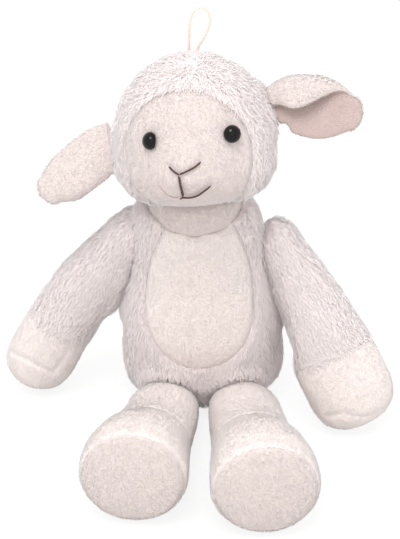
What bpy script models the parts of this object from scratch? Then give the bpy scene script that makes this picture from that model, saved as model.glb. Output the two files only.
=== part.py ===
# A plush sheep, seated with its legs forward. Metres, +Z up, the face towards -Y.
# The origin is the middle of the flat that the seat rests on. Left and right are the toy's own,
# so its left side is at +X.
#
# Each sewn piece is a shell of fabric with its pile, round a separate wad of stuffing. Where a sewn
# joint flexes, the root of the moving piece is round about the joint's axis and sits in a hollow or
# against a shallow cone, so that it turns without touching its neighbour.

import math

import bmesh
import bpy
from mathutils import Euler, Matrix, Vector

# Fabric and clearances
long_pile = 0.0040  # backing and pile of the hood, the body cover and the sleeves
short_pile = 0.0026  # backing and pile of the face, belly, mitts, legs and feet
seam_gap = 0.0003  # between sewn neighbours
cover_gap = 0.0010  # between a cover and its stuffing
turning_gap = 0.0003  # round a root that turns in its hollow
flat_depth = 0.0005  # how deep a resting form is cut flat
limb_slack = 0.0014  # between a limb's cover and its stuffing
overrun = 0.02  # how far a cutter runs past what it cuts

# Body: a pear, widest at the hips
body_height = 0.1615
body_half_width = 0.0560
body_half_depth = 0.0425
body_lean = 0.0060  # how far the neck stands to the toy's right of the seat
body_bottom_reach = 0.026
body_top_reach = 0.021
body_bluntness = 2.8, 2.5  # how square it rounds over, at the seat and at the shoulders
# half width, half depth and shift towards the front, evenly spaced from hips to shoulders
body_shares = (
    (1.010, 0.880, -0.03),
    (1.000, 1.000, -0.03),
    (0.975, 0.980, 0.02),
    (0.870, 0.880, 0.03),
    (0.790, 0.820, 0.08),
    (0.730, 0.790, 0.13),
)

# Belly panel, an egg-shaped window in the body cover
belly_half_width = 0.0375
belly_middle_height = 0.084
belly_drop = 0.040  # from its widest height down to its lowest edge
belly_rise = 0.088  # from its widest height up to where its sides would meet
belly_turn = 0.003  # how far the panel sits to the toy's right

# Pellet bag, low in the body
pellet_bag_half_width = 0.030
pellet_bag_half_depth = 0.025
pellet_bag_half_height = 0.018
pellet_bag_back = 0.008

# Neck, a firm round pad that carries the head
neck_radius = 0.0290
neck_drop = 0.0045  # from the body's top down to its middle
neck_forward = 0.004

# Head, set out from its own centre, then tilted
head_forward = 0.009
head_rise = 0.0542  # from the neck's middle up to its centre
head_side = 0.0060  # to the toy's right
head_half_width = 0.0535
head_half_depth = 0.0500
head_low = 0.011  # from its centre down to where the jowls round over
head_high = 0.009
head_bottom_reach = 0.0385
head_top_reach = 0.0440
head_pitch = math.radians(15)  # nose up
head_roll = math.radians(8)
head_turn = math.radians(7)  # to the toy's right
head_bluntness = 2.9, 1.8  # how square it rounds over, at the jowls and at the crown
# half width, half depth and shift towards the face, evenly spaced from jowls to brow
head_shares = (
    (1.000, 0.990, 0.05),
    (1.000, 1.000, 0.02),
    (0.970, 0.985, -0.01),
)
muzzle_push = 0.0075
muzzle_radius = 0.030
muzzle_drop = 0.0165  # below the head's centre

# Face panel, an oval window in the hood
face_half_width = 0.0425
face_half_height = 0.0450
face_drop = 0.0080
face_front = 0.0040  # the window starts this far in front of the head's centre

# Safety eyes, each a dome on a post that a washer locks behind the fabric
eye_radius = 0.0056
eye_dome = 0.0046
eye_side = 0.0258
eye_shift = 0.0046  # how far the pair sits to the toy's left of the face's middle
eye_height = 0.0071
eye_rim_share = 0.94  # how far the back edge is rounded in
eye_dome_steps = 3
eye_post_radius = 0.0016
eye_post_length = 0.0085
washer_radius = 0.0050
washer_thickness = 0.0014

# Ears: a leaf of two layers, sewn in along a line and drooping from it
ear_length = 0.050
ear_root_half_width = 0.0160
ear_root_half_thickness = 0.0032
ear_half_thickness = 0.0031
ear_tip_reach = 0.008
ear_plane_tilt = math.radians(19)  # how far the leaves lean back on the head
ear_camber = math.radians(24)
ear_gather_share = 0.13  # how soon its folds are full, out from the seam
ear_droop_share = 0.30  # how much of its length it bends down over
ear_fold_half_share = 0.17  # how much of a layer's width goes round half the fold
ear_section_steps = 8
ear_places = (-1, -0.5, 0, 0.12, 0.28, 0.48, 0.72, 1, 1.5, 2)
ear_proud = 0.0015  # how far the seam's middle lies off the hood
ear_pose = {
    1: {
        "root_angle": math.radians(15),  # round the head, up from its side
        "droop": math.radians(37),
        "fold": math.radians(155),  # how far its loose margin folds over the lining
        "upper_margin": True,  # which margin folds over
        "facing": 1,  # the lining is towards the front
        # half width, then the folded margin's width over the rest of the leaf's
        "shares": ((1.00, 0.00), (1.08, 0.60), (1.24, 0.42), (1.26, 0.26), (1.06, 0.12), (0.72, 0.02)),
    },
    -1: {
        "root_angle": math.radians(-8),
        "droop": math.radians(25),
        "fold": math.radians(70),
        "upper_margin": False,
        "facing": -1,
        "shares": ((1.00, 0.00), (1.06, 0.00), (1.10, 0.03), (1.08, 0.08), (0.96, 0.12), (0.62, 0.08)),
    },
}

# Arms: a sleeve to the wrist, a mitt beyond it
arm_root_radius = 0.0150
arm_half_width = 0.0205
arm_wrist_share = 0.72
arm_end_reach = 0.024
shoulder_side = 0.0480
shoulder_flat_side = 0.0400  # where the seam between arm and body lies, out from the middle
shoulder_slope = 0.38  # how fast that seam comes to widen away from the shoulder's axis
shoulder_blunt = 0.020  # how broadly its middle is rounded
shoulder_reach = 0.064
shoulder_gap = 0.0007
shoulder_rings = 5
arm_pose = {
    1: {
        "shoulder_drop": 0.0395,
        "shoulder_forward": 0.001,
        "hand_side": 0.0985,
        "hand_forward": 0.037,
        "bow": 0.000,
        "shares": ((1.08, 0.84), (1.26, 0.94), (1.38, 0.98), (1.48, 0.98), (1.48, 1.00)),
    },
    -1: {
        "shoulder_drop": 0.0350,
        "shoulder_forward": -0.003,
        "hand_side": 0.1100,
        "hand_forward": -0.006,
        "bow": 0.004,
        "shares": ((1.00, 0.86), (1.16, 0.96), (1.18, 0.98), (1.20, 1.02), (1.24, 1.06)),
    },
}

# Legs: a sleeve to the ankle, a flared foot, a round sole
leg_root_radius = 0.0180  # about the hip's axis
leg_root_half_width = 0.0240
leg_ankle_share = 0.46
sole_half_width = 0.0365
sole_half_height = 0.0350
sole_dome = 0.0085
hip_slack = 0.0002  # for a thigh that is not quite round about its axis
hip_side = 0.0252
hip_forward = 0.0410
leg_pose = {
    1: {"foot_side": 0.0390, "foot_forward": 0.1590},
    -1: {"foot_side": 0.0450, "foot_forward": 0.1470},
}
# how far the leg has grown from thigh to sole, evenly spaced
leg_flare_shares = (0.0, 0.06, 0.25, 0.62, 0.95, 1.0)

# Tail
tail_length = 0.026
tail_clearance = 0.0008  # from the body cover, which bulges a little between its rings
tail_root_radius = 0.0070
tail_half_width = 0.0095
tail_flat_share = 0.75
tail_full_share = 0.5  # how far along it is at its full width
tail_height = 0.046
tail_droop = math.radians(55)

# Hanging loop, a cotton cord sewn into the top of the hood
cord_radius = 0.0010
loop_to_side = math.radians(2)  # where it stands on the crown
loop_to_back = math.radians(21)
loop_points = 18
# across and up from the crown, out of one foot and back into the other
loop_route = (
    (-0.0029, -0.0028),
    (-0.0029, 0.0010),
    (-0.0027, 0.0100),
    (-0.0021, 0.0200),
    (0.0006, 0.0264),
    (0.0045, 0.0289),
    (0.0088, 0.0264),
    (0.0106, 0.0200),
    (0.0088, 0.0127),
    (0.0060, 0.0062),
    (0.0031, 0.0010),
    (0.0027, -0.0028),
)

# Counts
window_steps = 24
round_steps = 16
hollow_steps = 22  # not a multiple of the root's, so that their flats face its corners
cone_steps = 24
sharp_angle = math.radians(50)

# Colours, linear
long_pile_colour = (0.86, 0.80, 0.775, 1)
short_pile_colour = (0.83, 0.765, 0.74, 1)
lining_colour = (0.66, 0.56, 0.50, 1)
stuffing_colour = (0.86, 0.86, 0.85, 1)
cord_colour = (0.72, 0.56, 0.46, 1)
eye_colour = (0.012, 0.010, 0.010, 1)
washer_colour = (0.75, 0.75, 0.73, 1)
pellet_colour = (0.78, 0.76, 0.70, 1)

sideways = Vector((1, 0, 0))
backwards = Vector((0, 1, 0))
upwards = Vector((0, 0, 1))


def clear_scene():
    for old in list(bpy.data.objects):
        bpy.data.objects.remove(old, do_unlink=True)


def material(name, colour, roughness):
    made = bpy.data.materials.new(name)
    made.use_nodes = True
    shader = made.node_tree.nodes["Principled BSDF"]
    shader.inputs["Base Color"].default_value = colour
    shader.inputs["Roughness"].default_value = roughness
    shader.inputs["Metallic"].default_value = 0
    return made


def new_object(name, data):
    made = bpy.data.objects.new(name, data)
    bpy.context.collection.objects.link(made)
    return made


def mesh_object(name, work):
    """Turn a bmesh into an object with its faces pointing out."""
    bmesh.ops.recalc_face_normals(work, faces=work.faces)
    mesh = bpy.data.meshes.new(name)
    work.to_mesh(mesh)
    work.free()
    return new_object(name, mesh)


def between(low, high, share):
    return low + (high - low) * share


def ease(share):
    held = min(max(share, 0), 1)
    return held * held * (3 - 2 * held)


def smooth_read(values, place):
    """Read evenly spaced values at a place from 0 to 1 along them, on a Catmull-Rom curve."""
    last = len(values) - 1
    at = min(max(place, 0), 1) * last
    step = min(int(at), last - 1)
    t = at - step
    start, end = values[step], values[step + 1]
    before = values[step - 1] if step else start * 2 - end
    after = values[step + 2] if step + 2 <= last else end * 2 - start
    linear = (end - before) * t
    square = (before * 2 - start * 5 + end * 4 - after) * t**2
    cubic = (start * 3 - before - end * 3 + after) * t**3
    return start + (linear + square + cubic) / 2


class SoftForm:
    """A stuffed form: smooth rings along a bent spine, rounded over at both ends.

    Its places run from -1 to 0 over the first end, 0 to 1 along the spine, 1 to 2 over the last.
    """

    def __init__(self, stations, reaches, segments, steps, cap_steps=3, bluntness=(2, 2), keep=None):
        self.centres = [centre for centre, _, _ in stations]
        self.half_sides = [half_side for _, half_side, _ in stations]
        self.half_depths = [half_depth for _, _, half_depth in stations]
        self.reaches = reaches
        self.segments = segments
        self.bluntness = bluntness
        self.keep = keep or (lambda point, inset: point)
        self.places = [-1 + k / cap_steps for k in range(cap_steps)]
        self.places += [k / steps for k in range(steps + 1)]
        self.places += [1 + (k + 1) / cap_steps for k in range(cap_steps)]

    def heading(self, along):
        reach = 0.02
        ahead = smooth_read(self.centres, min(along + reach, 1))
        behind = smooth_read(self.centres, max(along - reach, 0))
        return (ahead - behind).normalized()

    def frame(self, place, inset=0):
        """Centre, heading and half sizes of the ring at a place, a distance inside the surface."""
        along = min(max(place, 0), 1)
        centre = smooth_read(self.centres, along)
        heading = self.heading(along)
        past = place - along
        rise = math.sin(abs(past) * math.pi / 2)
        end = 0 if past < 0 else 1
        blunt = self.bluntness[end]
        wide = max(1 - rise**blunt, 0) ** (1 / blunt)
        way = heading if past > 0 else -heading
        centre = centre + way * (self.reaches[end] - inset) * rise
        half_side = (smooth_read(self.half_sides, along) - inset) * wide
        half_depth = (smooth_read(self.half_depths, along) - inset) * wide
        return centre, heading, half_side, half_depth

    def ring(self, place, inset=0):
        centre, heading, half_side, half_depth = self.frame(place, inset)
        if place in (-1, 2):
            return [self.keep(centre, inset)]
        across = (sideways - heading * sideways.dot(heading)).normalized()
        deep = heading.cross(across)
        turns = [2 * math.pi * (k + 0.5) / self.segments for k in range(self.segments)]
        points = [
            centre + across * half_side * math.cos(turn) + deep * half_depth * math.sin(turn)
            for turn in turns
        ]
        return [self.keep(point, inset) for point in points]

    def rings(self, start=-1, end=2, inset=0):
        """Rings from one place to another, at the form's own steps between them."""
        margin = 0.04
        inner = [place for place in self.places if start + margin < place < end - margin]
        return [self.ring(place, inset) for place in [start, *inner, end]]

    def step_for(self, gap):
        """How far along the spine's places a small gap is."""
        length = sum((b - a).length for a, b in zip(self.centres, self.centres[1:]))
        return gap / length

    def lowest(self):
        return min(point.z for ring in self.rings() for point in ring)


def settled(build, height):
    """Find the height at which a form reaches flat_depth under the surface that it rests on."""
    for _ in range(4):
        height -= build(height).lowest() + flat_depth
    return build(height)


def skinned(name, rings, looped=False):
    """Close a chain of rings into one solid. A ring of one point is a pole."""
    work = bmesh.new()
    chain = [[work.verts.new(point) for point in ring] for ring in rings]
    if looped:
        chain.append(chain[0])
    for first, second in zip(chain, chain[1:]):
        count = max(len(first), len(second))
        for k in range(count):
            after = (k + 1) % count
            corners = [first[k % len(first)], first[after % len(first)]]
            corners += [second[after % len(second)], second[k % len(second)]]
            work.faces.new(list(dict.fromkeys(corners)))
    for ring in (chain[0], chain[-1]):
        if len(ring) > 1 and not looped:
            work.faces.new(ring)
    return mesh_object(name, work)


def cut_flat(made):
    """Cut off what reaches under the surface that the toy sits on."""
    work = bmesh.new()
    work.from_mesh(made.data)
    everything = work.verts[:] + work.edges[:] + work.faces[:]
    bmesh.ops.bisect_plane(work, geom=everything, plane_no=(0, 0, 1), clear_inner=True)
    rim = [edge for edge in work.edges if edge.is_boundary]
    bmesh.ops.contextual_create(work, geom=rim)
    bmesh.ops.recalc_face_normals(work, faces=work.faces)
    work.to_mesh(made.data)
    work.free()


def whole(name, form, inset=0):
    return skinned(name, form.rings(inset=inset))


def cup_to(name, form, place, wall):
    """A shell over the form's first end, open at a place along it."""
    return skinned(name, form.rings(end=place) + form.rings(end=place, inset=wall)[::-1])


def cup_from(name, form, place, wall):
    """A shell over the form's last end, open at a place along it."""
    return skinned(name, form.rings(start=place)[::-1] + form.rings(start=place, inset=wall))


def sleeve(name, form, start, end, wall):
    """A shell open at both ends."""
    return skinned(name, form.rings(start, end) + form.rings(start, end, wall)[::-1], looped=True)


def cutter(made):
    """Keep a cutter out of the finished toy."""
    made.hide_render = True
    made.display_type = "WIRE"
    return made


def hollow(name, matrix, *halves):
    """A round hollow whose flat facets all stay outside the root that turns in it."""
    rings = hollow_steps // 2
    facet_share = math.cos(math.pi / hollow_steps) * math.cos(math.pi / (2 * rings))
    work = bmesh.new()
    bmesh.ops.create_uvsphere(work, u_segments=hollow_steps, v_segments=rings, radius=1)
    made = mesh_object(name, work)
    stretch = [(half + turning_gap) / facet_share for half in halves]
    made.data.transform(matrix @ Matrix.Diagonal([*stretch, 1]))
    return cutter(made)


def bore(name, start, end, radius):
    """A round hole from one point to another, its flats outside the stated radius."""
    work = bmesh.new()
    way = end - start
    wide = radius / math.cos(math.pi / round_steps)
    bmesh.ops.create_cone(
        work, cap_ends=True, segments=round_steps, radius1=wide, radius2=wide, depth=way.length
    )
    made = mesh_object(name, work)
    turned = way.to_track_quat("Z", "Y").to_matrix().to_4x4()
    made.data.transform(Matrix.Translation((start + end) / 2) @ turned)
    return cutter(made)


def hip_fold(name, sign):
    """The room under a hip for its thigh to swing down into."""
    low = hip(sign) - upwards * (leg_root_radius + overrun)
    made = bore(name, hip(sign), low, leg_root_radius + turning_gap)
    widen = (leg_root_half_width + turning_gap) / (leg_root_radius + turning_gap)
    centre = Matrix.Translation(hip(sign))
    made.data.transform(centre @ Matrix.Diagonal((widen, 1, 1, 1)) @ centre.inverted())
    return made


def egg_window(name, half_width, rise, drop, middle, front, back):
    """An egg-shaped prism along Y, taller above its widest line by rise and below it by drop."""
    outline = []
    for k in range(window_steps):
        turn = 2 * math.pi * (k + 0.5) / window_steps
        reach = rise if math.sin(turn) > 0 else drop
        outline.append((middle.x + half_width * math.cos(turn), middle.z + reach * math.sin(turn)))
    near = [Vector((x, front, z)) for x, z in outline]
    far = [Vector((x, back, z)) for x, z in outline]
    return cutter(skinned(name, [near, far]))


def combine(made, other, operation="DIFFERENCE"):
    step = made.modifiers.new(other.name, "BOOLEAN")
    step.operation = operation
    step.object = other
    step.solver = "EXACT"


def finish(made, slot, pivot=Vector()):
    """Give a piece its material and smooth shading, and put its origin on its joint's axis."""
    made.data.materials.append(slot)
    made.data.shade_smooth()
    made.data.set_sharp_from_angle(angle=sharp_angle)
    made.data.transform(Matrix.Translation(-pivot))
    made.location = pivot


def side_name(sign):
    return "left" if sign > 0 else "right"


# Places that several pieces share
neck_centre = Vector((-body_lean, -neck_forward, body_height - neck_drop))
head_centre = Vector((-head_side, -head_forward, neck_centre.z + head_rise))
head_tilt = Euler((-head_pitch, -head_roll, -head_turn), "XYZ").to_matrix().to_4x4()
head_matrix = Matrix.Translation(head_centre) @ head_tilt


def shoulder(sign):
    pose = arm_pose[sign]
    return Vector((sign * shoulder_side, -pose["shoulder_forward"], body_height - pose["shoulder_drop"]))


def hip(sign):
    return Vector((sign * hip_side, -hip_forward, leg_root_radius - flat_depth))


def shoulder_side_at(radius):
    """How far out the seam between arm and body lies, a distance away from the shoulder's axis."""
    away = math.hypot(min(radius, shoulder_reach), shoulder_blunt) - shoulder_blunt
    return shoulder_flat_side + shoulder_slope * away


def shoulder_seat(name, sign):
    """All that lies outside the shallow dish, round the shoulder's axis, that an arm turns against."""
    root = shoulder(sign)
    turns = [2 * math.pi * k / cone_steps for k in range(cone_steps)]
    rings = []
    for k in range(shoulder_rings + 1):
        radius = shoulder_reach * k / shoulder_rings
        x = sign * shoulder_side_at(radius)
        ring = [Vector((x, root.y + radius * math.cos(t), root.z + radius * math.sin(t))) for t in turns]
        rings.append(ring if k else ring[:1])
    rings.append([point + sideways * sign * overrun for point in rings[-1]])
    return cutter(skinned(name, rings))


def clear_of_body(sign):
    """Keeps an arm's points outside that dish, so that its inner side lies against the body."""
    root = shoulder(sign)

    def keep(point, inset):
        radius = math.hypot(point.y - root.y, point.z - root.z)
        least = shoulder_side_at(radius) + shoulder_gap + inset
        return Vector((sign * max(sign * point.x, least), point.y, point.z))

    return keep


def body_form():
    def build(low):
        high = body_height - body_top_reach
        stations = []
        for k, (wide, deep, forward) in enumerate(body_shares):
            share = k / (len(body_shares) - 1)
            centre = Vector((-body_lean * share, -forward * body_half_depth, between(low, high, share)))
            stations.append((centre, body_half_width * wide, body_half_depth * deep))
        reaches = body_bottom_reach, body_top_reach
        return SoftForm(stations, reaches, segments=20, steps=6, bluntness=body_bluntness)

    return settled(build, body_bottom_reach)


def make_pellet_bag(name, grow):
    work = bmesh.new()
    bmesh.ops.create_uvsphere(work, u_segments=round_steps, v_segments=round_steps // 2, radius=1)
    made = mesh_object(name, work)
    halves = pellet_bag_half_width, pellet_bag_half_depth, pellet_bag_half_height
    stretch = Matrix.Diagonal([half + grow for half in halves] + [1])
    middle = Vector((0, pellet_bag_back, long_pile + pellet_bag_half_height))
    made.data.transform(Matrix.Translation(middle) @ stretch)
    return made


def make_body(slots):
    form = body_form()
    hollows = [hollow("neck_hollow_below", Matrix.Translation(neck_centre), *[neck_radius] * 3)]
    hip_halves = [half + hip_slack for half in (leg_root_half_width, leg_root_radius, leg_root_radius)]
    for sign in (1, -1):
        side = side_name(sign)
        hollows.append(shoulder_seat(f"{side}_shoulder_seat", sign))
        hollows.append(hollow(f"{side}_hip_hollow", Matrix.Translation(hip(sign)), *hip_halves))
        hollows.append(hip_fold(f"{side}_hip_fold", sign))
    front = -body_half_depth - overrun
    middle = Vector((-belly_turn, 0, belly_middle_height))

    cover = whole("body_cover", form)
    cut_flat(cover)
    combine(cover, cutter(whole("body_inside", form, long_pile)))
    window = belly_half_width + seam_gap, belly_rise + seam_gap, belly_drop + seam_gap
    combine(cover, egg_window("belly_window", *window, middle, front, 0))

    belly = whole("belly_panel", form, long_pile - short_pile)
    combine(belly, cutter(whole("belly_inside", form, long_pile)))
    panel = belly_half_width, belly_rise, belly_drop
    combine(belly, egg_window("belly_shape", *panel, middle, front, 0), "INTERSECT")

    stuffing = whole("body_stuffing", form, long_pile + cover_gap)
    combine(stuffing, cutter(make_pellet_bag("pellet_bag_hollow", cover_gap)))
    bag = make_pellet_bag("pellet_bag", 0)
    combine(bag, cutter(whole("stuffing_space", form, long_pile + cover_gap)), "INTERSECT")
    for space in hollows:
        for piece in (cover, belly, stuffing, bag):
            combine(piece, space)

    finish(cover, slots["long_pile"])
    finish(belly, slots["short_pile"])
    finish(stuffing, slots["stuffing"])
    finish(bag, slots["pellets"])


def make_neck(slots):
    work = bmesh.new()
    bmesh.ops.create_uvsphere(
        work, u_segments=round_steps, v_segments=round_steps // 2, radius=neck_radius
    )
    pad = mesh_object("neck_pad", work)
    pad.data.transform(Matrix.Translation(neck_centre))
    finish(pad, slots["long_pile"], neck_centre)


def head_form():
    stations = []
    for k, (wide, deep, forward) in enumerate(head_shares):
        height = between(-head_low, head_high, k / (len(head_shares) - 1))
        centre = Vector((0, -forward * head_half_depth, height))
        stations.append((centre, head_half_width * wide, head_half_depth * deep))
    reaches = head_bottom_reach, head_top_reach
    return SoftForm(stations, reaches, segments=22, steps=3, cap_steps=4, bluntness=head_bluntness)


def swell_muzzle(made):
    """Push the muzzle out of the face, fading out round it."""
    for vertex in made.data.vertices:
        x, y, z = vertex.co
        away = math.hypot(x, z + muzzle_drop) / muzzle_radius
        if y < 0 and away < 1:
            vertex.co.y -= muzzle_push * (1 - away**2) ** 2
    return made


def head_piece(name, form, inset=0):
    made = swell_muzzle(whole(name, form, inset))
    made.data.transform(head_matrix)
    return made


def face_window(name, grow):
    middle = Vector((0, 0, -face_drop))
    high = face_half_height + grow
    front = -head_half_depth - overrun
    made = egg_window(name, face_half_width + grow, high, high, middle, front, -face_front + grow)
    made.data.transform(head_matrix)
    return made


def eye_frame(sign):
    """The middle of an eye on the face, and its axes, with Z pointing out of the head."""
    x = sign * eye_side + eye_shift
    high = head_high + head_top_reach
    deep = head_half_depth * math.sqrt(1 - (x / head_half_width) ** 2 - (eye_height / high) ** 2)
    out = Vector((x / head_half_width**2, -deep / head_half_depth**2, eye_height / high**2))
    place = Vector((x, long_pile - short_pile - deep, eye_height))
    turned = out.to_track_quat("Z", "Y").to_matrix().to_4x4()
    return head_matrix @ Matrix.Translation(place) @ turned


def turned_solid(name, profile, matrix):
    """A solid of revolution about Z, from its radius and height points, first to last on the axis."""
    rings = []
    for radius, height in profile:
        turns = [2 * math.pi * k / round_steps for k in range(round_steps)] if radius else [0]
        rings.append([Vector((radius * math.cos(t), radius * math.sin(t), height)) for t in turns])
    made = skinned(name, rings, looped=len(rings[0]) > 1)
    made.data.transform(matrix)
    return made


def make_eyes(slots):
    """Returns the spaces that the posts and washers take in the face and the stuffing."""
    spaces = []
    seat = seam_gap
    washer_top = -short_pile - seam_gap
    washer_low = washer_top - washer_thickness
    for sign in (1, -1):
        side = side_name(sign)
        frame = eye_frame(sign)
        dome = [(0, seat + eye_dome)]
        for k in range(1, eye_dome_steps + 1):
            turn = k * math.pi / 2 / (eye_dome_steps + 1)
            dome.append((eye_radius * math.sin(turn), seat + eye_dome * math.cos(turn)))
        rim = seat + eye_radius * (1 - eye_rim_share)
        profile = dome + [
            (eye_radius, rim),
            (eye_radius * eye_rim_share, seat),
            (eye_post_radius, seat),
            (eye_post_radius, -eye_post_length),
            (0, -eye_post_length),
        ]
        finish(turned_solid(f"eye_{side}", profile, frame), slots["eye"], neck_centre)
        hole = eye_post_radius + seam_gap
        washer = [(hole, washer_top), (washer_radius, washer_top), (washer_radius, washer_low), (hole, washer_low)]
        finish(turned_solid(f"eye_washer_{side}", washer, frame), slots["washer"], neck_centre)
        top = frame @ Vector((0, 0, eye_dome))
        end = frame @ Vector((0, 0, -eye_post_length - seam_gap))
        spaces.append(bore(f"eye_post_bore_{side}", top, end, hole))
        spaces.append(bore(f"eye_seat_{side}", top, frame.translation, eye_radius + seam_gap))
        outer = frame @ Vector((0, 0, washer_top + seam_gap))
        inner = frame @ Vector((0, 0, washer_low - seam_gap))
        spaces.append(bore(f"eye_washer_space_{side}", outer, inner, washer_radius + seam_gap))
    return spaces


def ear_frame(sign):
    """The middle of an ear's seam, and its axes: X out of the head, Y the lining's side, Z down the seam."""
    pose = ear_pose[sign]
    view = Euler((-ear_plane_tilt, 0, 0), "XYZ").to_matrix()
    rise = view @ upwards
    out = sideways * sign * math.cos(pose["root_angle"]) + rise * math.sin(pose["root_angle"])
    halves = head_half_width, head_half_depth, head_high + head_top_reach
    reach = 1 / math.sqrt(sum((part / half) ** 2 for part, half in zip(out, halves)))
    lining = (view @ -backwards) * pose["facing"]
    seam = out.cross(lining)
    axes = Matrix((out, lining, seam)).transposed().to_4x4()
    return Matrix.Translation(out * (reach + ear_proud)) @ axes


def ear_section(sign, half_width, flap, half_thickness, grown, lining):
    """One layer's section: along its middle, then back over its pile, as offsets along Y and Z."""
    pose = ear_pose[sign]
    loose = -1 if pose["upper_margin"] else 1
    width = 2 * half_width * (1 + flap)
    fold_middle = 1 / (1 + flap)
    side = 1 if lining else -1
    middle, pile = [], []
    y, z = 0, -half_width
    before = 0
    for k in range(ear_section_steps + 1):
        share = (1 - math.cos(math.pi * k / ear_section_steps)) / 2
        halfway = (before + share) / 2
        folded = ease((halfway - fold_middle + ear_fold_half_share) / (2 * ear_fold_half_share))
        turn = (pose["fold"] * folded + ear_camber * (halfway - 1 / 2)) * grown
        y += math.sin(turn) * width * (share - before)
        z += math.cos(turn) * width * (share - before)
        before = share
        thick = half_thickness * math.sqrt(1 - (2 * share - 1) ** 2)
        out_y = math.cos(turn) * side
        out_z = -math.sin(turn) * side
        start = seam_gap / 2
        middle.append((y + out_y * start, (z + out_z * start) * loose))
        if 0 < k < ear_section_steps:
            pile.append((y + out_y * (start + thick), (z + out_z * (start + thick)) * loose))
    return middle + pile[::-1]


def ear_bend(sign, along):
    """The middle of a drooping ear at a share of its length, and the turn of its section there."""
    droop = ear_pose[sign]["droop"]
    centre = Vector()
    for k in range(round_steps):
        share = (k + 1 / 2) / round_steps * along
        turn = droop * ease(share / ear_droop_share)
        centre += Vector((math.cos(turn), 0, math.sin(turn))) * along * ear_length / round_steps
    return centre, Matrix.Rotation(-droop * ease(along / ear_droop_share), 4, "Y")


def ear_layer(name, sign, lining):
    pose = ear_pose[sign]
    wide = [ear_root_half_width * share for share, _ in pose["shares"]]
    flaps = [flap for _, flap in pose["shares"]]
    rings = []
    for place in ear_places:
        along = min(max(place, 0), 1)
        past = place - along
        rise = math.sin(past * math.pi / 2)
        narrow = math.cos(past * math.pi / 2)
        centre, turned = ear_bend(sign, along)
        centre += turned @ sideways * rise * (ear_root_half_thickness if past < 0 else ear_tip_reach)
        if place in (-1, 2):
            side = seam_gap / 2 if lining else -seam_gap / 2
            rings.append([centre + Vector((0, side, 0))])
            continue
        half_width = smooth_read(wide, along) * narrow
        half_thickness = between(ear_root_half_thickness, ear_half_thickness, ease(3 * along)) * narrow
        flap = smooth_read(flaps, along)
        section = ear_section(sign, half_width, flap, half_thickness, ease(along / ear_gather_share), lining)
        rings.append([centre + turned @ Vector((0, y, z)) for y, z in section])
    made = skinned(name, rings)
    made.data.transform(head_matrix @ ear_frame(sign))
    return made


def make_head(slots):
    form = head_form()
    spaces = make_eyes(slots)
    hollows = [hollow("neck_hollow_above", Matrix.Translation(neck_centre), *[neck_radius] * 3)]
    ear_halves = ear_root_half_thickness, ear_root_half_thickness, ear_root_half_width
    for sign in (1, -1):
        side = side_name(sign)
        frame = head_matrix @ ear_frame(sign)
        hollows.append(hollow(f"ear_{side}_hollow", frame, *[half + seam_gap / 2 for half in ear_halves]))
        for lining, layer in ((False, "outer"), (True, "lining")):
            ear = ear_layer(f"ear_{side}_{layer}", sign, lining)
            finish(ear, slots["lining" if lining else "short_pile"], frame.translation)

    hood = head_piece("head_cover", form)
    combine(hood, cutter(head_piece("hood_inside", form, long_pile)))
    combine(hood, face_window("face_opening", seam_gap))
    face = head_piece("face_panel", form, long_pile - short_pile)
    combine(face, cutter(head_piece("face_inside", form, long_pile)))
    combine(face, face_window("face_shape", 0), "INTERSECT")
    stuffing = head_piece("head_stuffing", form, long_pile + cover_gap)
    for space in hollows:
        for piece in (hood, face, stuffing):
            combine(piece, space)
    for space in spaces:
        for piece in (face, stuffing):
            combine(piece, space)
    for foot in loop_feet():
        combine(hood, foot)
    finish(hood, slots["long_pile"], neck_centre)
    finish(face, slots["short_pile"], neck_centre)
    finish(stuffing, slots["stuffing"], neck_centre)


def loop_frame():
    """Where the loop is sewn in, at the crown of the hood, with Z the way it stands."""
    out = Vector((math.sin(loop_to_side), math.sin(loop_to_back), 1)).normalized()
    halves = head_half_width, head_half_depth, head_high + head_top_reach
    reach = 1 / math.sqrt(sum((part / half) ** 2 for part, half in zip(out, halves)))
    return Matrix.Translation(head_matrix @ (out * reach))


def loop_path():
    """The cord's middle line, out of the hood, round and back in."""
    frame = loop_frame()
    route = [Vector((x, 0, height)) for x, height in loop_route]
    return [frame @ smooth_read(route, k / loop_points) for k in range(loop_points + 1)]


def loop_feet():
    """The holes in the hood's seam that the cord's two feet are sewn into."""
    path = loop_path()
    holes = []
    for name, end, inner in (("first", path[0], path[1]), ("second", path[-1], path[-2])):
        out = (inner - end).normalized()
        top = end + out * overrun / 4
        holes.append(bore(f"{name}_foot_hole", top, end - out * seam_gap, cord_radius + seam_gap))
    return holes


def make_loop(slots):
    curve = bpy.data.curves.new("hanging_loop", "CURVE")
    curve.dimensions = "3D"
    curve.bevel_depth = cord_radius
    curve.bevel_resolution = 2
    curve.use_fill_caps = True
    path = loop_path()
    line = curve.splines.new("POLY")
    line.points.add(len(path) - 1)
    for point, place in zip(line.points, path):
        point.co = (*(place - neck_centre), 1)
    made = new_object("hanging_loop", curve)
    made.location = neck_centre
    curve.materials.append(slots["cord"])
    return made


def arm_form(sign):
    pose = arm_pose[sign]
    root = shoulder(sign)
    rows = [(arm_root_radius, arm_root_radius)]
    rows += [(arm_half_width * wide, arm_half_width * deep) for wide, deep in pose["shares"]]

    def build(hand_height):
        hand = Vector((sign * pose["hand_side"], -pose["hand_forward"], hand_height))
        stations = []
        for k, (wide, deep) in enumerate(rows):
            share = k / (len(rows) - 1)
            bow = sideways * sign * pose["bow"] * 4 * share * (1 - share)
            stations.append((root.lerp(hand, share) + bow, wide, deep))
        reaches = arm_root_radius, arm_end_reach
        return SoftForm(
            stations, reaches, segments=14, steps=5, bluntness=(2, 2.3), keep=clear_of_body(sign)
        )

    return settled(build, arm_half_width)


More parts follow.
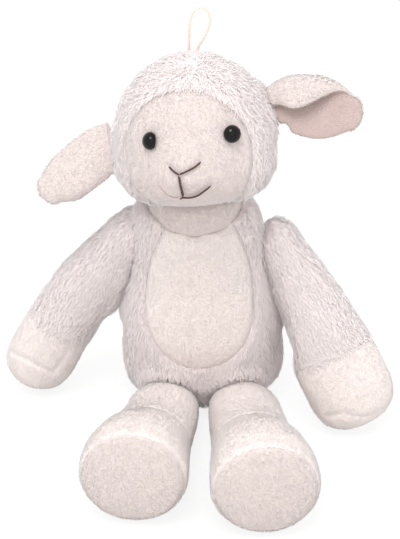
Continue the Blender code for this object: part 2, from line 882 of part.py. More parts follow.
def make_arm(sign, slots):
    name = f"arm_{side_name(sign)}"
    form = arm_form(sign)
    half_gap = form.step_for(seam_gap) / 2
    upper = cup_to(f"{name}_sleeve", form, arm_wrist_share - half_gap, long_pile)
    mitt = cup_from(f"{name}_mitt", form, arm_wrist_share + half_gap, long_pile)
    cut_flat(mitt)
    stuffing = whole(f"{name}_stuffing", form, long_pile + limb_slack)
    finish(upper, slots["long_pile"], shoulder(sign))
    finish(mitt, slots["short_pile"], shoulder(sign))
    finish(stuffing, slots["stuffing"], shoulder(sign))


def leg_form(sign):
    pose = leg_pose[sign]
    root = hip(sign)

    def build(foot_height):
        foot = Vector((sign * pose["foot_side"], sole_dome - pose["foot_forward"], foot_height))
        stations = []
        for k, flare in enumerate(leg_flare_shares):
            share = k / (len(leg_flare_shares) - 1)
            level = root.lerp(foot, ease(share))
            centre = Vector((level.x, between(root.y, foot.y, share), level.z))
            wide = between(leg_root_half_width, sole_half_width, flare)
            deep = between(leg_root_radius, sole_half_height, flare)
            stations.append((centre, wide, deep))
        reaches = leg_root_radius, sole_dome
        return SoftForm(stations, reaches, segments=16, steps=6)

    return settled(build, sole_half_height)


def make_leg(sign, slots):
    name = f"leg_{side_name(sign)}"
    form = leg_form(sign)
    half_gap = form.step_for(seam_gap) / 2
    seam = seam_gap / (sole_dome * math.pi / 2)
    thigh = cup_to(f"{name}_sleeve", form, leg_ankle_share - half_gap, short_pile)
    foot = sleeve(f"{name}_foot", form, leg_ankle_share + half_gap, 1, short_pile)
    sole = cup_from(f"{name}_sole", form, 1 + seam, short_pile)
    stuffing = whole(f"{name}_stuffing", form, short_pile + limb_slack)
    for piece in (thigh, foot, sole):
        cut_flat(piece)
        finish(piece, slots["short_pile"], hip(sign))
    finish(stuffing, slots["stuffing"], hip(sign))


def make_tail(slots):
    """A short drooping tail, its root against the back of the body cover."""
    body = body_form()
    share = (tail_height - body.centres[0].z) / (body.centres[-1].z - body.centres[0].z)
    centre, _, _, half_depth = body.frame(share)
    way = Vector((0, math.cos(tail_droop), -math.sin(tail_droop)))
    root = centre + backwards * (half_depth + tail_clearance) + way * tail_root_radius
    rows = (0, tail_root_radius), (tail_full_share, tail_half_width), (1, tail_half_width)
    stations = [(root + way * tail_length * along, wide, wide * tail_flat_share) for along, wide in rows]
    form = SoftForm(stations, (tail_root_radius, tail_half_width), segments=12, steps=3)
    finish(whole("tail", form), slots["long_pile"])


def main():
    clear_scene()
    slots = {
        "long_pile": material("long_pile", long_pile_colour, 0.95),
        "short_pile": material("short_pile", short_pile_colour, 0.9),
        "lining": material("lining", lining_colour, 0.9),
        "stuffing": material("stuffing", stuffing_colour, 1.0),
        "pellets": material("pellets", pellet_colour, 0.6),
        "cord": material("cord", cord_colour, 0.8),
        "eye": material("eye", eye_colour, 0.08),
        "washer": material("washer", washer_colour, 0.5),
    }
    make_body(slots)
    make_neck(slots)
    make_head(slots)
    make_loop(slots)
    make_tail(slots)
    for sign in (1, -1):
        make_arm(sign, slots)
        make_leg(sign, slots)


main()
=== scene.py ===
import math

import bmesh
import bpy
import numpy as np
from mathutils import Matrix, Vector
from mathutils.bvhtree import BVHTree
from mathutils.kdtree import KDTree


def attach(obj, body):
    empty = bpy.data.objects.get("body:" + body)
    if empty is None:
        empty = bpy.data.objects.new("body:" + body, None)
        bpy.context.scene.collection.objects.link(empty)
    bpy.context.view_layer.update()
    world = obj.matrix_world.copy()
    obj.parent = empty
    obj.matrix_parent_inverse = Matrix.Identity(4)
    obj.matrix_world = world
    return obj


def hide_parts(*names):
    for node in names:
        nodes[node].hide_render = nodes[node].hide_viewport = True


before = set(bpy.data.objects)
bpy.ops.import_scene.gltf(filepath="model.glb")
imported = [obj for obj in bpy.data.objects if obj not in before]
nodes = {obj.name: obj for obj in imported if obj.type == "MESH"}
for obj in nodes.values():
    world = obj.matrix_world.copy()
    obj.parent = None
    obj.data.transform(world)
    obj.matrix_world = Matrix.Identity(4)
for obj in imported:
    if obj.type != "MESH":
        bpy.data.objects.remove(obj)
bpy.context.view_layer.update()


# Camera, at the angle of the photograph
photo = {
    "target": Vector((-0.0025, -0.0200, 0.1130)),
    "elevation": 34,
    "distance": 1.6,
    "lens": 164.4,
    "sensor": 36,
    "wide": 400,
    "high": 539,
}


def setCamera():
    lift = math.radians(photo["elevation"])
    back = Vector((0, -math.cos(lift), math.sin(lift)))
    lens = bpy.data.cameras.new("camera")
    lens.lens = photo["lens"]
    lens.sensor_width = photo["sensor"]
    made = bpy.data.objects.new("camera", lens)
    bpy.context.collection.objects.link(made)
    made.location = photo["target"] + back * photo["distance"]
    made.rotation_euler = back.to_track_quat("Z", "Y").to_euler()
    bpy.context.scene.camera = made
    bpy.context.view_layer.update()
    return made


def photoPoint(across, down, surface):  # where a pixel of the photograph lies on a surface, and its normal
    step = photo["sensor"] / photo["lens"] / photo["high"]
    ray = Vector(((across - photo["wide"] / 2) * step, (photo["high"] / 2 - down) * step, -1))
    ray = camera.matrix_world.to_quaternion() @ ray
    return surface.ray_cast(camera.location, ray.normalized())[:2]


print("camera")
camera = setCamera()


# Shader helpers: a wire is a socket that does maths, a finish is a material
class Wire:
    def __init__(self, finish, socket):
        self.finish = finish
        self.socket = socket

    def maths(self, operation, first, second):
        return self.finish.node("ShaderNodeMath", {"operation": operation}, {0: first, 1: second})

    def __add__(self, other):
        return self.maths("ADD", self, other)

    def __radd__(self, other):
        return self.maths("ADD", other, self)

    def __sub__(self, other):
        return self.maths("SUBTRACT", self, other)

    def __rsub__(self, other):
        return self.maths("SUBTRACT", other, self)

    def __mul__(self, other):
        return self.maths("MULTIPLY", self, other)

    def __rmul__(self, other):
        return self.maths("MULTIPLY", other, self)

    def __truediv__(self, other):
        return self.maths("DIVIDE", self, other)

    def __rtruediv__(self, other):
        return self.maths("DIVIDE", other, self)

    def __pow__(self, other):
        return self.maths("POWER", self, other)


class Finish:
    def __init__(self, name, **fixed):
        self.material = bpy.data.materials.new(name)
        self.material.use_nodes = True
        self.tree = self.material.node_tree
        self.shader = self.tree.nodes["Principled BSDF"]
        for socket, value in fixed.items():
            self.shader.inputs[socket.replace("_", " ")].default_value = value
        self.place = self.node("ShaderNodeTexCoord", out="Object")

    def node(self, kind, settings=None, feeds=None, out=0):
        made = self.tree.nodes.new(kind)
        for key, value in (settings or {}).items():
            setattr(made, key, value)
        for socket, value in (feeds or {}).items():
            self.feed(made.inputs[socket], value)
        return Wire(self, made.outputs[out])

    def feed(self, socket, value):
        if isinstance(value, Wire):
            self.tree.links.new(value.socket, socket)
        else:
            socket.default_value = value

    def colours(self, share, low, high):  # low at 0, high at 1
        return self.node("ShaderNodeMix", {"data_type": "RGBA"}, {0: share, 6: low, 7: high}, out=2)

    def noise(self, scale, detail=2):
        feeds = {"Vector": self.place, "Scale": scale, "Detail": detail}
        return self.node("ShaderNodeTexNoise", feeds=feeds)

    def bump(self, height, distance, strength):
        feeds = {"Height": height, "Distance": distance, "Strength": strength}
        return self.node("ShaderNodeBump", feeds=feeds)

    def output(self, **wires):
        for socket, wire in wires.items():
            self.feed(self.shader.inputs[socket.replace("_", " ")], wire)
        return self.material


def colour(red, green, blue):  # a colour as it is seen, from 0 to 255, made linear
    seen = [channel / 255 for channel in (red, green, blue)]
    return tuple(c / 12.92 if c < 0.0405 else ((c + 0.055) / 1.055) ** 2.4 for c in seen) + (1,)


def addPiece(name, mesh, material, body):
    made = bpy.data.objects.new(name, mesh)
    bpy.context.collection.objects.link(made)
    mesh.materials.clear()
    mesh.materials.append(material)
    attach(made, body)
    return made


def applied(piece, kind, **settings):
    modifier = piece.modifiers.new("step", kind)
    for key, value in settings.items():
        setattr(modifier, key, value)
    bpy.context.view_layer.objects.active = piece
    bpy.ops.object.modifier_apply(modifier=modifier.name)


def eased(share):
    held = min(max(share, 0), 1)
    return held * held * (3 - 2 * held)


def curveAt(points, place):  # a smooth curve through the points, read at a place counted in points
    ends = [points[0] * 2 - points[1]] + list(points) + [points[-1] * 2 - points[-2]]
    k = min(int(place), len(points) - 2)
    t = place - k
    a, b, c, d = ends[k:k + 4]
    square = (2 * a - 5 * b + 4 * c - d) * t ** 2
    cube = (3 * b - a - 3 * c + d) * t ** 3
    return (2 * b + (c - a) * t + square + cube) * 0.5


def smoothRoute(points, step, cuts=12):  # a line through the points, read at even steps
    fine = [curveAt(points, k / cuts) for k in range(cuts * (len(points) - 1) + 1)]
    along = np.concatenate([[0], np.cumsum([(q - p).length for p, q in zip(fine, fine[1:])])])
    count = max(2, round(along[-1] / step))
    at = np.linspace(0, along[-1], count + 1)
    flat = np.array([tuple(p) for p in fine])
    return [Vector([float(np.interp(s, along, flat[:, k])) for k in range(3)]) for s in at]


def twistedTube(route, radii, lay):  # laid yarn, whose lobes turn along the route
    around, depth = lay["around"], lay["depth"]
    mesh = bmesh.new()
    uv = mesh.loops.layers.uv.new("OFBake")
    along = (route[1] - route[0]).normalized()
    across = along.orthogonal().normalized()
    run = 0
    rings = []
    for k, point in enumerate(route):
        ahead = (route[min(k + 1, len(route) - 1)] - route[max(k - 1, 0)]).normalized()
        across = (across - ahead * across.dot(ahead)).normalized()
        other = ahead.cross(across)
        run += (point - route[k - 1]).length if k else 0
        ring = []
        for j in range(around):
            angle = j / around * math.tau
            wound = lay["plies"] / 2 * (angle - run / lay["pitch"] * math.tau)
            lobe = 1 - depth + depth * abs(math.cos(wound))
            spoke = across * math.cos(angle) + other * math.sin(angle)
            ring.append(mesh.verts.new(point + spoke * radii[k] * lobe))
        rings.append((ring, run))
    for (low, start), (high, end) in zip(rings, rings[1:]):
        for j in range(around):
            face = mesh.faces.new((low[j], low[(j + 1) % around], high[(j + 1) % around], high[j]))
            face.smooth = True
            places = ((j, start), (j + 1, start), (j + 1, end), (j, end))
            for loop, (turn, at) in zip(face.loops, places):
                loop[uv].uv = (turn / around, at / rings[-1][1])
    for ring, turned in ((rings[0][0], True), (rings[-1][0], False)):
        face = mesh.faces.new(ring[::-1] if turned else ring)
        for k, loop in enumerate(face.loops):
            loop[uv].uv = (0.5 + 0.01 * math.cos(k), 0.5 + 0.01 * math.sin(k))
    made = bpy.data.meshes.new("yarn")
    mesh.to_mesh(made)
    mesh.free()
    return made


# Hanging loop: a twisted cotton cord whose two ends go into the crown
loop = {
    "radius": 0.0010,
    "plies": 3,
    "pitch": 0.0062,
    "depth": 0.2,
    "step": 0.0006,
    "around": 15,
    "color": colour(246, 233, 221),
    "shade": colour(226, 205, 190),
    "points": [
        (-0.00952, 0.02126, 0.25146), (-0.00954, 0.02126, 0.25340), (-0.00950, 0.02126, 0.25689),
        (-0.00938, 0.02126, 0.26264), (-0.00920, 0.02126, 0.26883), (-0.00863, 0.02126, 0.27471),
        (-0.00709, 0.02126, 0.27895), (-0.00504, 0.02126, 0.28178), (-0.00258, 0.02126, 0.28312),
        (0.00016, 0.02126, 0.28247), (0.00251, 0.02126, 0.28012), (0.00381, 0.02126, 0.27621),
        (0.00368, 0.02126, 0.27186), (0.00231, 0.02126, 0.26735), (0.00068, 0.02126, 0.26321),
        (-0.00113, 0.02126, 0.25950), (-0.00304, 0.02126, 0.25630), (-0.00386, 0.02126, 0.25368),
        (-0.00392, 0.02126, 0.25146),
    ],
}


def cordFinish():
    finish = Finish("cottonCord", Roughness=0.86, Sheen_Weight=0.25)
    fibre = finish.noise(2600, 3)
    tint = finish.colours(fibre * 0.9 + finish.noise(300) * 0.3, loop["shade"], loop["color"])
    return finish.output(Base_Color=tint, Normal=finish.bump(fibre, 0.0002, 0.6))


def makeLoop():
    route = smoothRoute([Vector(p) for p in loop["points"]], loop["step"])
    mesh = twistedTube(route, [loop["radius"]] * len(route), loop)
    made = addPiece("hangingLoop", mesh, cordFinish(), "head")
    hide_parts("hanging_loop")
    2 * loop["radius"]


print("hanging loop")
makeLoop()


# Ears: two layers sewn round their margins, with one margin rolled over the lining
earShape = {
    "length": 0.0470,
    "rootHalfWidth": 0.0160,
    "halfThickness": 0.0038,
    "fullness": 2.6,  # how square a layer's section is
    "tipReach": 0.0080,
    "rootReach": 0.0030,
    "rootRound": 0.0015,
    "seam": 0.00015,  # half the gap between the layers
    "camber": math.radians(24),
    "gather": 0.13,  # share of its length in which the folds fill out
    "droopOver": 0.30,  # share of its length in which it bends down
    "foldOver": 0.17,  # share of its width that goes round half the fold
    "along": 28,
    "across": 22,
}
ears = {  # "rolled" is how far the folds are formed already at the root
    "left": {
        "frame": Matrix(((0.93739, -0.17828, 0.29918, 0.04550), (0.03072, -0.81337, -0.58093, -0.00731),
                         (0.34691, 0.55375, -0.75697, 0.22800), (0, 0, 0, 1))),
        "tilt": math.radians(2), "droop": math.radians(29), "fold": math.radians(155), "rolled": 1.0,
        "loose": -1, "nap": (0.9, -0.2, -0.3),
        "widths": (0.68, 1.02, 1.17, 1.19, 1.04, 0.72),
        "flaps": (0.52, 0.66, 0.58, 0.38, 0.15, 0.00)},
    "right": {
        "frame": Matrix(((-0.96687, 0.17828, 0.18271, -0.05916), (0.04031, 0.81337, -0.58034, -0.00678),
                         (-0.25208, -0.55375, -0.79361, 0.19734), (0, 0, 0, 1))),
        "tilt": 0, "droop": math.radians(25), "fold": math.radians(70), "rolled": 0.3,
        "loose": 1, "nap": (-0.9, -0.2, -0.5),
        "widths": (0.98, 1.00, 0.99, 0.94, 0.86, 0.60),
        "flaps": (0.02, 0.04, 0.06, 0.10, 0.14, 0.10)},
}


def earSection(ear, halfWidth, flap, thickness, grown, side):  # across a layer: its sewn side, then its pile
    width = 2 * halfWidth * (1 + flap)
    foldMiddle = 1 / (1 + flap)
    sewn, pile = [], []
    y, z, before = 0, -halfWidth, 0
    for k in range(earShape["across"] + 1):
        share = (1 - math.cos(math.pi * k / earShape["across"])) / 2
        halfway = (before + share) / 2
        folded = eased((halfway - foldMiddle + earShape["foldOver"]) / (2 * earShape["foldOver"]))
        turn = (ear["fold"] * folded + earShape["camber"] * (halfway - 0.5)) * grown
        y += math.sin(turn) * width * (share - before)
        z += math.cos(turn) * width * (share - before)
        before = share
        thick = thickness * (1 - abs(2 * share - 1) ** earShape["fullness"]) ** 0.5
        for row, away in ((sewn, earShape["seam"]), (pile, earShape["seam"] + thick)):
            out = side * away
            across = (z - math.sin(turn) * out) * ear["loose"]
            row.append(Vector((0, y + math.cos(turn) * out, across)))
    return sewn + pile[-2:0:-1]


def earLayer(ear, side):  # side is 1 for the lining and -1 for the outer layer; its pile faces are panel 0
    mesh = bmesh.new()
    panel = mesh.faces.layers.int.new("panel")
    count = earShape["along"]
    whole = earShape["length"] + earShape["tipReach"] + earShape["rootReach"]
    rings = []
    centre, last = Vector((-earShape["rootReach"], 0, 0)), 0
    for k in range(count + 1):
        share = (1 - math.cos(math.pi * k / count)) / 2
        run = share * whole - earShape["rootReach"]
        along = min(max(run / earShape["length"], 0), 1)
        turn = ear["droop"] * eased(along / earShape["droopOver"])
        centre = centre + Vector((math.cos(turn), 0, math.sin(turn))) * (run - last if k else 0)
        last = run
        if k in (0, count):
            rings.append([mesh.verts.new(centre + Vector((0, earShape["seam"] * side, 0)))])
            continue
        past = max(0, run - earShape["length"]) / earShape["tipReach"]
        begun = min(1, (run + earShape["rootReach"]) / earShape["rootRound"])
        narrow = math.sqrt(max(0, 1 - past ** 2)) * math.sqrt(begun)
        place = along * (len(ear["widths"]) - 1)
        halfWidth = earShape["rootHalfWidth"] * curveAt(ear["widths"], place) * narrow
        flap = max(0, curveAt(ear["flaps"], place))
        grown = eased(along / earShape["gather"] + ear["rolled"])
        section = earSection(ear, halfWidth, flap, earShape["halfThickness"] * narrow, grown, side)
        turned = Matrix.Rotation(-turn, 3, "Y")
        rings.append([mesh.verts.new(centre + turned @ point) for point in section])
    for low, high in zip(rings, rings[1:]):
        for j in range(2 * earShape["across"]):
            ends = ((low, j), (low, j + 1), (high, j + 1), (high, j))
            corners = [ring[at % len(ring)] for ring, at in ends]
            face = mesh.faces.new(list(dict.fromkeys(corners)))
            face[panel] = 0 if j >= earShape["across"] else 1
    bmesh.ops.recalc_face_normals(mesh, faces=mesh.faces)
    mesh.transform(ear["frame"] @ Matrix.Rotation(ear["tilt"], 4, "Y"))
    mesh.normal_update()
    return mesh


# Stuffed forms: every group of sewn panels over one filling
forms = {
    "body": {
        "ride": "body", "panels": ["body_cover", "belly_panel"], "filling": ["body_stuffing", "pellet_bag"],
        "voxel": 0.0040, "sink": 0.0036, "swell": 0.0028, "close": -0.0012,
        "puffs": [{"at": (-0.036, -0.006, 0.150), "radius": 0.018, "rise": 0.0045},
                  {"at": (0.042, -0.006, 0.149), "radius": 0.018, "rise": 0.0080}]},
    "neck": {
        "ride": "neck", "panels": ["neck_pad"], "filling": [],
        "voxel": 0.0030, "sink": 0.0010, "swell": 0.0010,
        "spread": (1.13, 1.06, 0.84), "moved": (0, -0.0015, -0.0015)},
    "tail": {
        "ride": "body", "panels": ["tail"], "filling": [],
        "voxel": 0.0022, "sink": 0.0016, "swell": 0.0010},
    "head": {
        "ride": "head", "panels": ["head_cover", "face_panel"], "filling": ["head_stuffing"],
        "voxel": 0.0036, "sink": 0.0036, "swell": 0.0026},
}
for side, sign in (("left", 1), ("right", -1)):
    forms[f"arm_{side}"] = {
        "ride": f"arm_{side}", "panels": [f"arm_{side}_sleeve", f"arm_{side}_mitt"],
        "filling": [f"arm_{side}_stuffing"],
        "voxel": 0.0032, "sink": 0.0030, "swell": 0.0022, "close": -0.0015,
        "puffs": [{"at": (sign * 0.048, -0.004, 0.136), "radius": 0.020, "rise": 0.0045}]}
    forms[f"leg_{side}"] = {
        "ride": f"leg_{side}", "panels": [f"leg_{side}_sleeve", f"leg_{side}_foot", f"leg_{side}_sole"],
        "filling": [f"leg_{side}_stuffing"],
        "voxel": 0.0034, "sink": 0.0030, "swell": 0.0024,
        "puffs": [{"at": (sign * 0.056, -0.057, 0.022), "radius": 0.024, "rise": 0.0042}]}
longPanels = {"body_cover", "neck_pad", "tail", "head_cover", "arm_left_sleeve", "arm_right_sleeve"}
cloth = {
    "weld": 0.00001,
    "soften": 2,
    "lift": 0.5,  # share of its sink
    "shorter": 0.0018,  # how much less a cover sinks under short pile
    "blend": 0.0060,  # width over which that changes
    "closeReach": 0.0090,  # how near a neighbour a cover sinks less
    "close": 0.0008,  # its sink where it touches one
    "pressure": 4,
    "quality": 4,
    "frames": 20,
    "pinned": 0.0032,  # how near a seam the cloth is held
    "creaseStep": 0.001,
    "grooveWidth": 0.0021,
    "grooveDepth": 0.0009,
    "thickness": 0.0010,
}
for form in forms.values():
    form.setdefault("close", cloth["close"])


def joined(names):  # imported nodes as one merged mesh
    mesh = bmesh.new()
    for name in names:
        mesh.from_mesh(nodes[name].data)
    bmesh.ops.remove_doubles(mesh, verts=mesh.verts, dist=cloth["weld"])
    return mesh


def treeOf(names):
    mesh = joined(names)
    made = BVHTree.FromBMesh(mesh)
    mesh.free()
    return made


def coordinates(mesh):
    flat = np.empty(len(mesh.vertices) * 3)
    mesh.vertices.foreach_get("co", flat)
    return flat.reshape(-1, 3)


def normalsOf(mesh):
    flat = np.empty(len(mesh.vertices) * 3)
    mesh.vertex_normals.foreach_get("vector", flat)
    return flat.reshape(-1, 3)


def setCoordinates(mesh, places):
    mesh.vertices.foreach_set("co", places.ravel())
    mesh.update()


def largestShell(mesh):  # the outer skin, without any bubble inside it
    left = set(mesh.verts)
    shells = []
    while left:
        shell, edge = set(), [left.pop()]
        while edge:
            vert = edge.pop()
            shell.add(vert)
            near = [e.other_vert(vert) for e in vert.link_edges]
            fresh = [v for v in near if v in left]
            left.difference_update(fresh)
            edge.extend(fresh)
        shells.append(shell)
    shells.sort(key=len)
    bmesh.ops.delete(mesh, geom=[v for shell in shells[:-1] for v in shell], context="VERTS")


def reaches(mesh, form):  # distance from each vertex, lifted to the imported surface, to each panel's solid
    trees = [treeOf([panel]) for panel in form["panels"]]
    places = coordinates(mesh) + normalsOf(mesh) * (form["sink"] * cloth["lift"])
    return np.array([[tree.find_nearest(Vector(p))[3] for tree in trees] for p in places])


def nearness(places, points):  # distance from each place to the nearest of the points
    tree = KDTree(len(points))
    for k, point in enumerate(points):
        tree.insert(point, k)
    tree.balance()
    return np.array([tree.find(Vector(p))[2] for p in places])


def shortness(mesh, form):  # 1 where a panel of short pile covers the form, 0 under long pile
    long = [panel in longPanels for panel in form["panels"]]
    toward = reaches(mesh, form)
    if all(long) or not any(long):
        return np.full(len(toward), 0.0 if all(long) else 1.0)
    lead = toward[:, long].min(axis=1) - toward[:, [not one for one in long]].min(axis=1)
    return np.array([eased(0.5 + gap / cloth["blend"]) for gap in lead])


def roughForm(name, form):  # the outer skin of a form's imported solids
    mesh = joined(form["panels"] + form["filling"][:1])
    start = bpy.data.meshes.new(name)
    mesh.to_mesh(start)
    mesh.free()
    piece = bpy.data.objects.new(f"{name}Form", start)
    bpy.context.collection.objects.link(piece)
    applied(piece, "REMESH", mode="VOXEL", voxel_size=form["voxel"])
    mesh = bmesh.new()
    mesh.from_mesh(piece.data)
    largestShell(mesh)
    for _ in range(cloth["soften"]):
        bmesh.ops.smooth_vert(mesh, verts=mesh.verts, factor=0.5,
                              use_axis_x=True, use_axis_y=True, use_axis_z=True)
    mesh.to_mesh(piece.data)
    mesh.free()
    return piece


def sinkOf(name, form, mesh, places):  # how far each vertex goes in, to make room for pile
    sink = np.full(len(places), form["sink"]) - cloth["shorter"] * shortness(mesh, form)
    for other, tree in packed.items():  # where another form is close, the cover stays near its packed place
        if other == name:
            continue
        for k, place in enumerate(places):
            away = tree.find_nearest(Vector(place), cloth["closeReach"])[3]
            if away is not None:
                share = away / cloth["closeReach"]
                sink[k] = min(sink[k], form["close"] + (form["sink"] - form["close"]) * share * share)
    for puff in form.get("puffs", ()):  # more filling under the cover
        away = np.linalg.norm(places - np.array(puff["at"]), axis=1)
        sink = sink - puff["rise"] * np.exp(-(away / puff["radius"]) ** 2)
    return np.minimum(sink, form["sink"])


def seamPoints(form, mesh, places):  # middles of the edges between panels
    found = []
    toward = reaches(mesh, form)
    for k in range(len(form["panels"]) - 1):
        gap = toward[:, k] - toward[:, k + 1:].min(axis=1)
        for edge in mesh.edges:
            a, b = edge.vertices
            if (gap[a] > 0) != (gap[b] > 0) and toward[a].min() < toward[a][:k].min(initial=1):
                found.append(Vector(places[a]).lerp(Vector(places[b]), 0.5))
    return found


def startForm(name, form):
    piece = roughForm(name, form)
    places = coordinates(piece.data)
    if "spread" in form:  # pressed out round its middle by what sits above it
        middle = places.mean(axis=0)
        places = middle + (places - middle) * np.array(form["spread"]) + np.array(form["moved"])
    places -= normalsOf(piece.data) * sinkOf(name, form, piece.data, places)[:, None]
    setCoordinates(piece.data, places)
    group = piece.vertex_groups.new(name="seams")
    seams = seamPoints(form, piece.data, places)
    if seams:
        held = nearness(places, seams) < cloth["pinned"]
        group.add([int(k) for k in np.flatnonzero(held)], 1, "REPLACE")
    form["piece"] = piece


def plump():  # the filling presses every cover out between its seams
    starts = {}
    for name, form in forms.items():
        piece = form["piece"]
        starts[name] = coordinates(piece.data)
        modifier = piece.modifiers.new("filling", "CLOTH")
        settings = modifier.settings
        settings.quality = cloth["quality"]
        settings.use_pressure = True
        settings.uniform_pressure_force = cloth["pressure"]
        settings.effector_weights.gravity = 0
        settings.vertex_group_mass = "seams"
        modifier.point_cache.frame_start = 1
        modifier.point_cache.frame_end = cloth["frames"]
    for number in range(1, cloth["frames"] + 1):
        bpy.context.scene.frame_set(number)
    for name, form in forms.items():
        piece = form["piece"]
        bpy.context.view_layer.objects.active = piece
        bpy.ops.object.modifier_apply(modifier="filling")
        moved = coordinates(piece.data) - starts[name]
        far = np.linalg.norm(moved, axis=1, keepdims=True)
        moved *= np.minimum(1, form["swell"] / np.maximum(far, 1e-9))
        setCoordinates(piece.data, starts[name] + moved)
        applied(piece, "SMOOTH", factor=0.5, iterations=2)
    bpy.context.scene.frame_set(1)


def cutPanels(mesh, toward, count):  # cuts the skin along its seams; each face gets its panel's number
    layers = [mesh.verts.layers.float.new(f"toward{k}") for k in range(count)]
    gap = mesh.verts.layers.float.new("gap")
    panel = mesh.faces.layers.int.new("panel")
    seams = []
    mesh.verts.ensure_lookup_table()
    for vert in mesh.verts:
        for k, layer in enumerate(layers):
            vert[layer] = toward[vert.index][k]
    for face in mesh.faces:
        face[panel] = count - 1
    for k in range(count - 1):
        for vert in mesh.verts:
            vert[gap] = vert[layers[k]] - min(vert[layer] for layer in layers[k + 1:])
        crossing = [e for e in mesh.edges if (e.verts[0][gap] > 0) != (e.verts[1][gap] > 0)
                    and any(f[panel] == count - 1 for f in e.link_faces)]
        made = []
        for edge in crossing:
            a, b = edge.verts
            share = min(max(a[gap] / (a[gap] - b[gap]), 0.06), 0.94)
            values = [a[layer] * (1 - share) + b[layer] * share for layer in layers]
            vert = bmesh.utils.edge_split(edge, a, share)[1]
            for layer, value in zip(layers, values):
                vert[layer] = value
            vert[gap] = 0
            made.append(vert)
        bmesh.ops.connect_verts(mesh, verts=made)
        for face in mesh.faces:
            if face[panel] == count - 1 and sum(v[gap] for v in face.verts) < 0:
                face[panel] = k
        seams += [vert.co.copy() for vert in made]
    return seams


creases = {  # seams inside one panel, by the photograph's pixels
    "body": [[(190, 226), (191, 260), (191.5, 300), (191, 340), (190, 371)]],
    "arm_right": [[(12, 353), (22, 357), (32, 362), (43, 368), (54, 373)],
                  [(69, 350), (64, 358), (59, 365), (54, 373)]],
    "arm_left": [[(326, 416), (340, 414), (353, 416), (368, 416), (382, 416)]],
}


def creasePoints(name, mesh):
    surface = BVHTree.FromBMesh(mesh)
    found = []
    for crease in creases.get(name, ()):
        hits = [photoPoint(*pixel, surface)[0] for pixel in crease]
        hits = [hit for hit in hits if hit is not None]
        if len(hits) > 1:
            found += smoothRoute(hits, cloth["creaseStep"])
    return found


def finishForm(name, form):
    piece = form["piece"]
    applied(piece, "SUBSURF", levels=1, render_levels=1)
    mesh = bmesh.new()
    mesh.from_mesh(piece.data)
    toward = reaches(piece.data, form)
    form["seams"] = cutPanels(mesh, toward, len(form["panels"]))
    mesh.normal_update()
    form["seams"] += creasePoints(name, mesh)
    if form["seams"]:
        near = nearness([v.co for v in mesh.verts], form["seams"])
        shift = [v.normal * cloth["grooveDepth"] * math.exp(-(d / cloth["grooveWidth"]) ** 2)
                 for v, d in zip(mesh.verts, near)]
        for vert, move in zip(mesh.verts, shift):
            vert.co -= move
    form["mesh"] = mesh


print("stuffed forms")
packed = {name: treeOf(form["panels"]) for name, form in forms.items()}
for side in ears:
    packed[f"ear_{side}"] = treeOf([f"ear_{side}_outer", f"ear_{side}_lining"])
for name, form in forms.items():
    startForm(name, form)
print("filling")
plump()
print("panels and seams")
for name, form in forms.items():
    finishForm(name, form)


# Eyes: glossy safety eyes pressed into the face
eyes = {
    "left": {"place": Vector((0.01714, -0.04813, 0.23227)),
             "axis": Vector((0.3930, -0.8222, 0.4118)), "sunk": 0},
    "right": {"place": Vector((-0.03432, -0.04651, 0.22632)),
              "axis": Vector((-0.9000, -0.3500, 0.2600)), "sunk": 0.0014},
}
eyeShape = {
    "radius": 0.0056,
    "dome": 0.0046,
    "cut": 0.35,  # share of the radius
    "dish": 0.0010,
    "dishReach": 0.0078,
    "color": colour(7, 5, 6),
    # lighter tone of a mottle laid by noise
    "worn": colour(15, 12, 13),
}

# Thread of the nose and mouth, by the photograph's pixels
threads = {
    "noseLeft": {"route": [(179.5, 174.6), (184, 172.6), (189, 170.2), (194, 167.4), (198, 164.2),
                           (200.4, 161.8)], "radius": 0.00072, "lift": 0.0013},
    "noseRight": {"route": [(169.8, 166.4), (173, 169.8), (176.4, 172.6), (179.5, 174.6)],
                  "radius": 0.00072, "lift": 0.0013},
    "noseStem": {"route": [(179.3, 175.2), (180.2, 180), (181.3, 185), (182.4, 190), (183.2, 195.4)],
                 "radius": 0.00080, "lift": 0.0012, "bead": 0.0017},
    "mouthLeft": {"route": [(180.2, 198), (183, 196.3), (188, 196.4), (193, 195.8), (198, 194),
                            (202, 191.2), (206.4, 188), (210.4, 184.4)], "radius": 0.00068, "lift": 0.0012},
    "mouthRight": {"route": [(180.2, 198), (175, 198.4), (169.5, 197.0), (164.6, 193.8), (160.4, 189),
                             (157, 184.2)], "radius": 0.00036, "lift": 0, "faint": True},
}
yarn = {
    "plies": 2,
    "pitch": 0.0024,
    "depth": 0.25,
    "step": 0.0003,
    "around": 8,
    "beading": 0.28,
    "endWidth": 0.35,
    "taper": 8,  # how fast an end widens
    "bedStep": 0.001,
    "bedWidth": 0.0022,
    "bedDepth": 0.0007,
    "bare": 0.00105,  # how near it no pile grows
}


def sewFace():  # dishes the skin round the eyes and finds each thread's route on it
    mesh = forms["head"]["mesh"]
    for eye in eyes.values():
        for vert in mesh.verts:
            away = (vert.co - eye["place"]).length
            vert.co -= vert.normal * eyeShape["dish"] * math.exp(-(away / eyeShape["dishReach"]) ** 2)
    surface = BVHTree.FromBMesh(mesh)
    for thread in threads.values():
        hits = [photoPoint(*pixel, surface) for pixel in thread["route"]]
        thread["points"] = [place for place, normal in hits]
        thread["normals"] = [normal for place, normal in hits]
    sewn = [p for thread in threads.values() for p in smoothRoute(thread["points"], yarn["bedStep"])]
    near = nearness([v.co for v in mesh.verts], sewn)
    for vert, away in zip(mesh.verts, near):
        vert.co -= vert.normal * yarn["bedDepth"] * math.exp(-(away / yarn["bedWidth"]) ** 2)
    return sewn


print("face")
sewn = sewFace()


